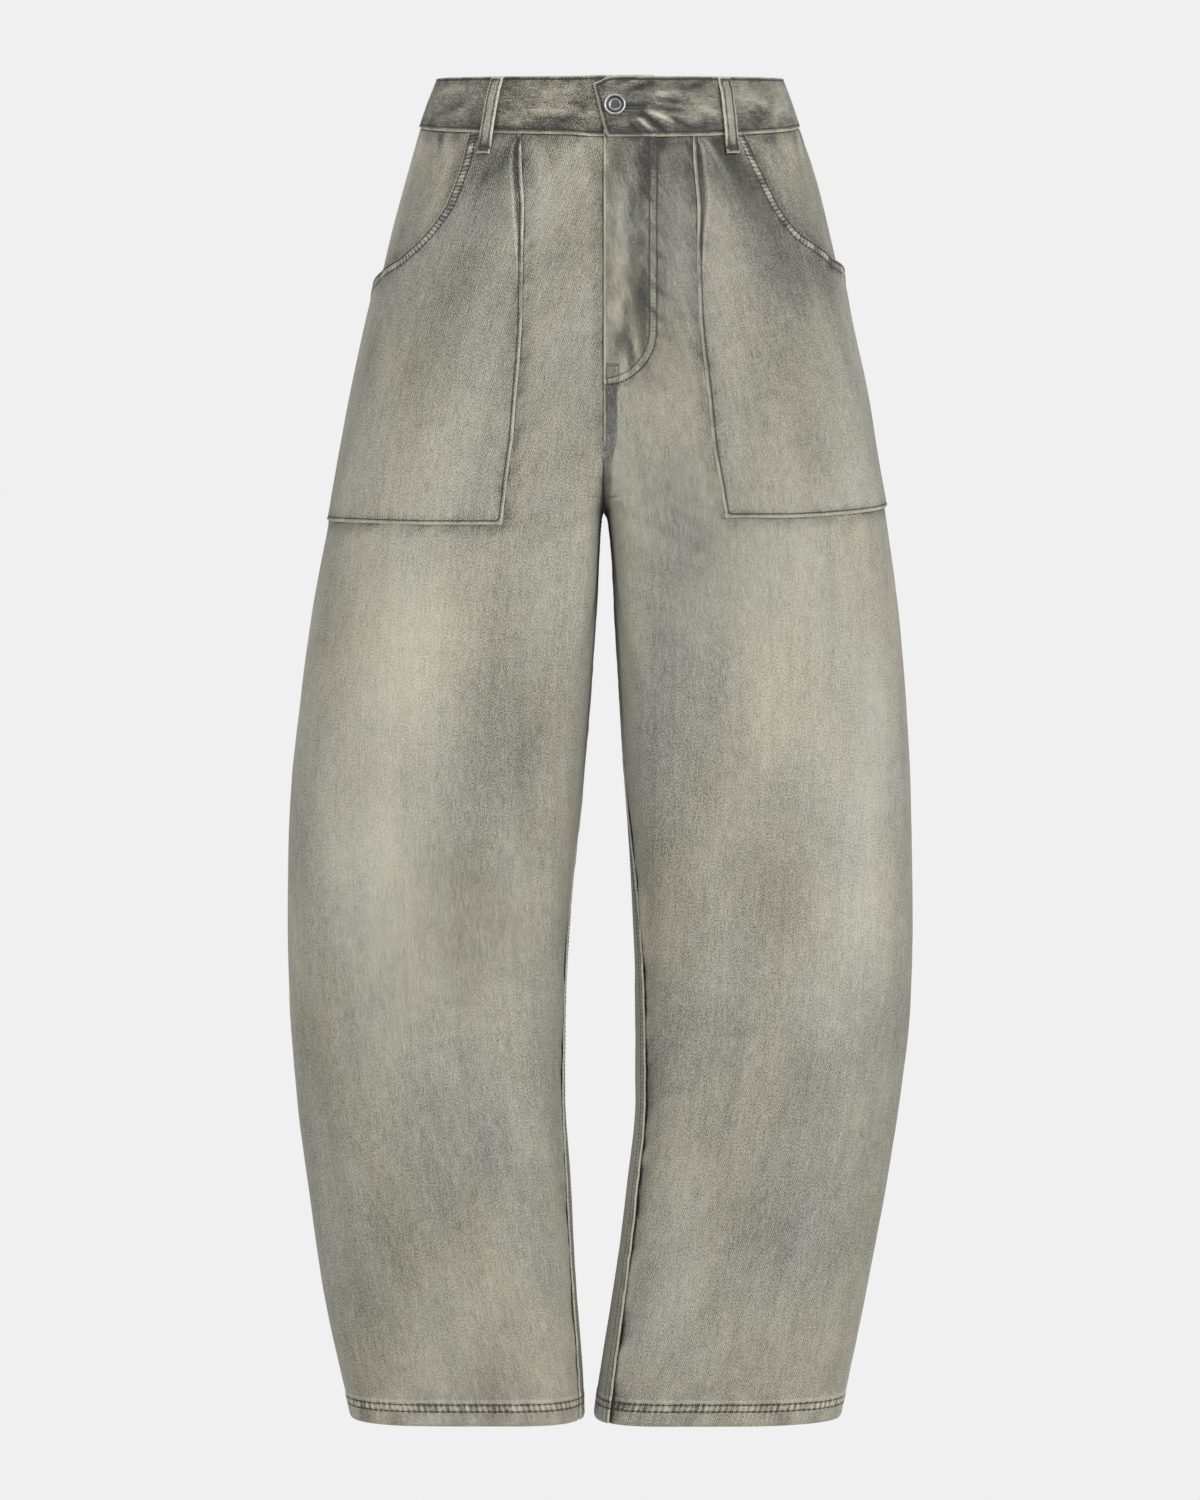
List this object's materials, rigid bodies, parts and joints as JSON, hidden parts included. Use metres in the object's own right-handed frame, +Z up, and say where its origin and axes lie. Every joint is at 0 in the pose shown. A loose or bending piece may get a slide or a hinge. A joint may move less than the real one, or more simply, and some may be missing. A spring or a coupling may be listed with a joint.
{
  "type": "barrel leg trousers",
  "caption": "Wide barrel leg trousers in washed denim with patch pockets, filled out and held at the waist.",
  "frame": {"origin": "middle of the waist opening, level with the middle of the waistband at the sides, where the wearer's waist holds it", "axes": "+Z up towards the waistband, +X towards the wearer's left leg, -Y towards the front"},
  "size_m": [0.4728, 0.2622, 1.0309],
  "materials": {
    "denim": "washed green-grey twill, matt",
    "button_metal": "silver, satin with a bright rim"
  },
  "bodies": {
    "root": {"left_front": "denim", "right_front": "denim", "left_back": "denim", "right_back": "denim", "left_pocket": "denim", "right_pocket": "denim", "waistband": "denim", "belt_loop_1": "denim", "belt_loop_2": "denim", "belt_loop_3": "denim", "belt_loop_4": "denim", "belt_loop_5": "denim", "button": "button_metal"}
  },
  "joints": []
}
